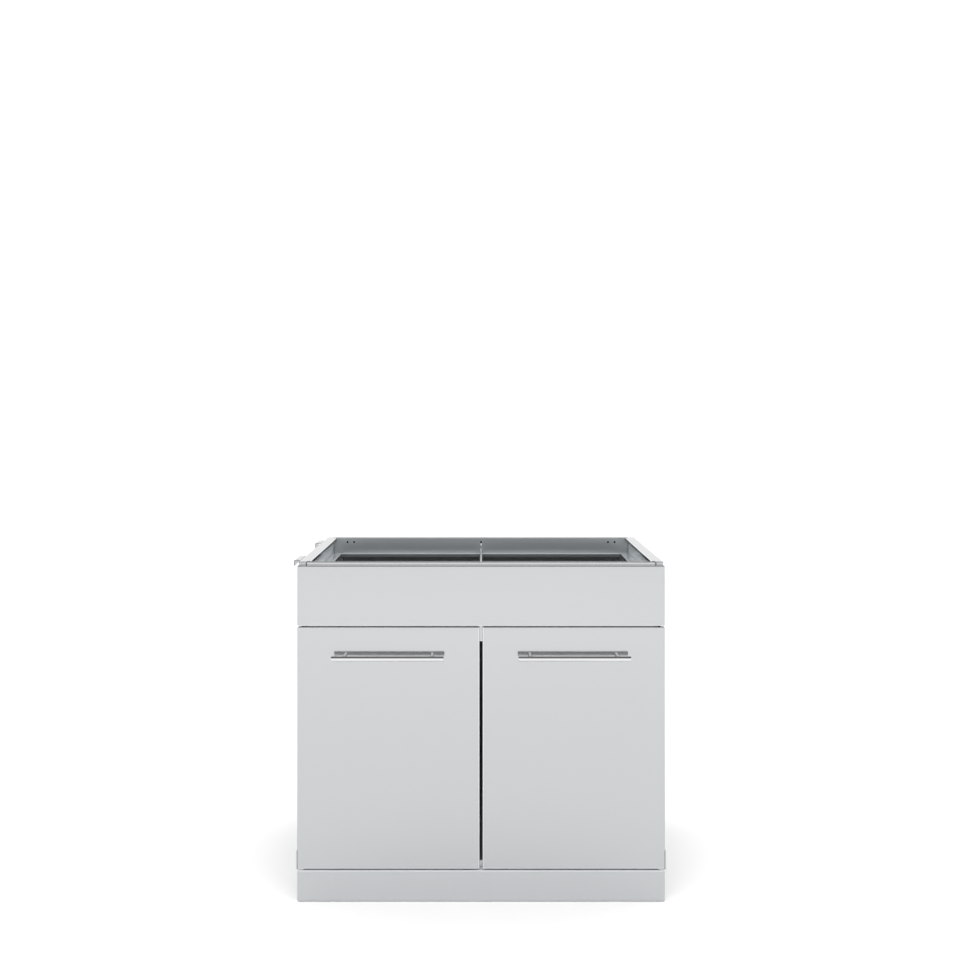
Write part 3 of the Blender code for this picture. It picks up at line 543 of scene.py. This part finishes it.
def build_handle(side):
    bar_node = "handle_bar_" + side
    bar_middle, bar_size = middle_and_size(bar_node)
    bar_radius = bar_size.z / 2
    profile = bar_profile(bar_radius, bar_size.x / 2)
    bar = turned("handle_bar_fine_" + side, profile, bar_middle, "X", BAR_STEPS, "door_" + side,
                 "satin_hardware", "bar")
    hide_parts(bar_node)
    tip_y = bar_middle.y + bar_radius - POST_IN_BAR
    for end in ("west", "east"):
        post_node = f"handle_post_{side}_{end}"
        post_middle, post_size = middle_and_size(post_node)
        post_radius = post_size.x / 2
        base_y = post_middle.y + post_size.y / 2
        half = (base_y - tip_y) / 2
        profile = [(0, half), (post_radius, half), (post_radius, -half), (0, -half)]
        centre = Vector((post_middle.x, (base_y + tip_y) / 2, bar_middle.z))
        post = turned(f"handle_post_fine_{side}_{end}", profile, centre, "Y", POST_STEPS, "door_" + side,
                      "satin_hardware", "hardware")
        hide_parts(post_node)


def build_inserts():
    bore_end = INSERT_RIM - INSERT_LENGTH * INSERT_BORE_SHARE
    profile = [
        (0, bore_end),
        (INSERT_BORE, bore_end),
        (INSERT_BORE, INSERT_RIM),
        (INSERT_FLANGE - INSERT_RIM, INSERT_RIM),
        (INSERT_FLANGE, INSERT_SEAT),
        (INSERT_BARREL, INSERT_SEAT),
        (INSERT_BARREL, -INSERT_LENGTH),
        (0, -INSERT_LENGTH),
    ]
    left = [LEFT_WALL + INSERT_OUTER_INSET, LEFT_WALL + INSERT_INNER_INSET]
    right = [RIGHT_WALL - INSERT_INNER_INSET, RIGHT_WALL - INSERT_OUTER_INSET]
    for number, x in enumerate([*left, CENTRE_X, *right], 1):
        centre = Vector((x, BACK_LOW.y, BACK_HIGH.z - INSERT_DROP))
        turned(f"threaded_insert_{number}", profile, centre, "-Y", INSERT_STEPS, "carcass", "zinc_plate",
               "zinc", INSERT_BORE)


def build_bar_tab():
    bar_low, bar_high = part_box("support_bar")
    half = (bar_high.x - bar_low.x) / 2
    middle_x = (bar_low.x + bar_high.x) / 2
    foot_z = bar_high.z - TAB_OVERLAP
    round_z = BACK_HIGH.z - TAB_DROP - half
    outline = [(-half, foot_z), (half, foot_z)]
    for i in range(TAB_ARC_STEPS + 1):
        turn = math.pi * i / TAB_ARC_STEPS
        outline.append((half * math.cos(turn), round_z + half * math.sin(turn)))
    bm = bmesh.new()
    face = bm.faces.new([bm.verts.new((middle_x + x, BACK_LOW.y, z)) for x, z in outline])
    grown = bmesh.ops.extrude_face_region(bm, geom=[face])["geom"]
    grown_verts = [item for item in grown if isinstance(item, bmesh.types.BMVert)]
    bmesh.ops.translate(bm, verts=grown_verts, vec=(0, -TAB_SHEET, 0))
    bmesh.ops.recalc_face_normals(bm, faces=bm.faces)
    bmesh.ops.bevel(bm, geom=list(bm.edges), offset=TAB_EDGE, segments=TAB_EDGE_SEGMENTS,
                    profile=ROUND_PROFILE, affect="EDGES")
    add_piece(bm, "support_bar_tab", "carcass", "brushed_carcass", "strap")


def build_rivets(hook):
    low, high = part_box(hook)
    profile = quarter_arc(RIVET_RADIUS, RIVET_HEIGHT, RIVET_ARC_STEPS) + [(0, 0)]
    for end, y in (("front", low.y + RIVET_INSET), ("rear", high.y - RIVET_INSET)):
        centre = Vector((high.x - HOOK_SHEET, y, high.z - RIVET_DROP))
        turned(f"{hook}_rivet_{end}", profile, centre, "-X", RIVET_STEPS, "carcass", "satin_hardware",
               "hardware")


# Stage, light and camera

def build_stage():
    bm = bmesh.new()
    corners = ((-1, -1), (1, -1), (1, 1), (-1, 1))
    bm.faces.new([bm.verts.new((x * FLOOR_HALF, y * FLOOR_HALF, 0)) for x, y in corners])
    mesh = bpy.data.meshes.new("studio_floor")
    bm.to_mesh(mesh)
    bm.free()
    floor = bpy.data.objects.new("studio_floor", mesh)
    bpy.context.scene.collection.objects.link(floor)
    material, nodes, _ = new_material("studio_floor")
    shader = nodes["Principled BSDF"]
    shader.inputs["Base Color"].default_value = FLOOR_COLOUR
    shader.inputs["Roughness"].default_value = 1
    shader.inputs["Specular IOR Level"].default_value = 0
    mesh.materials.append(material)


def build_world():
    """A bright band round the horizon, a dim ring above it and a soft panel overhead."""
    world = bpy.data.worlds.new("studio")
    bpy.context.scene.world = world
    world.use_nodes = True
    nodes, links = world.node_tree.nodes, world.node_tree.links
    coordinates = nodes.new("ShaderNodeTexCoord")
    split = nodes.new("ShaderNodeSeparateXYZ")
    links.new(coordinates.outputs["Generated"], split.inputs["Vector"])
    levels = []
    for limits in (HORIZON_RAMP, OVERHEAD_RAMP):
        ramp = add_ramp(nodes, links, split.outputs["Z"], limits)
        ramp.interpolation_type = "SMOOTHSTEP"
        levels.append(ramp.outputs["Result"])
    links.new(add_larger(nodes, links, *levels), nodes["Background"].inputs["Strength"])
    nodes["Background"].inputs["Color"].default_value = WORLD_COLOUR


def add_light(name, kind, power):
    """A light that metal doesn't mirror."""
    data = bpy.data.lights.new(name, kind)
    data.energy = power
    light = bpy.data.objects.new(name, data)
    bpy.context.scene.collection.objects.link(light)
    light.visible_glossy = False
    return light


def add_sun(name, direction, power, spread):
    sun = add_light(name, "SUN", power)
    sun.data.angle = spread
    sun.rotation_euler = Vector(direction).to_track_quat("-Z", "Y").to_euler()


def add_panel(name, centre, size, power):
    """A soft panel that faces down."""
    panel = add_light(name, "AREA", power)
    panel.data.shape = "RECTANGLE"
    panel.data.size, panel.data.size_y = size
    panel.location = centre


def build_camera():
    data = bpy.data.cameras.new("camera")
    data.lens = data.sensor_width * FOCAL_PIXELS / FRAME_PIXELS
    data.shift_x = (FRAME_PIXELS / 2 - VANISHING_X) / FRAME_PIXELS
    data.shift_y = (VANISHING_Y - FRAME_PIXELS / 2) / FRAME_PIXELS
    camera = bpy.data.objects.new("camera", data)
    bpy.context.scene.collection.objects.link(camera)
    camera.location = (CENTRE_X, FRONT_LOW.y - CAMERA_DISTANCE, CAMERA_HEIGHT)
    camera.rotation_euler = (QUARTER_TURN, 0, 0)
    bpy.context.scene.camera = camera


finish_cad_nodes()
for side in ("left", "right"):
    build_handle(side)
build_inserts()
build_bar_tab()
for hook in ("side_hook_front", "side_hook_rear"):
    build_rivets(hook)

build_stage()
build_world()
add_sun("front_softbox", FRONT_SUN_DIRECTION, FRONT_SUN_POWER, FRONT_SUN_SPREAD)
add_sun("overhead_softbox", OVERHEAD_SUN_DIRECTION, OVERHEAD_SUN_POWER, OVERHEAD_SUN_SPREAD)
# The panel hangs behind the camera and lights the near floor
add_panel("floor_panel", (0, FRONT_LOW.y - PANEL_DISTANCE, PANEL_HEIGHT), PANEL_SIZE, PANEL_POWER)
bpy.context.scene.view_settings.view_transform = "Standard"
build_camera()
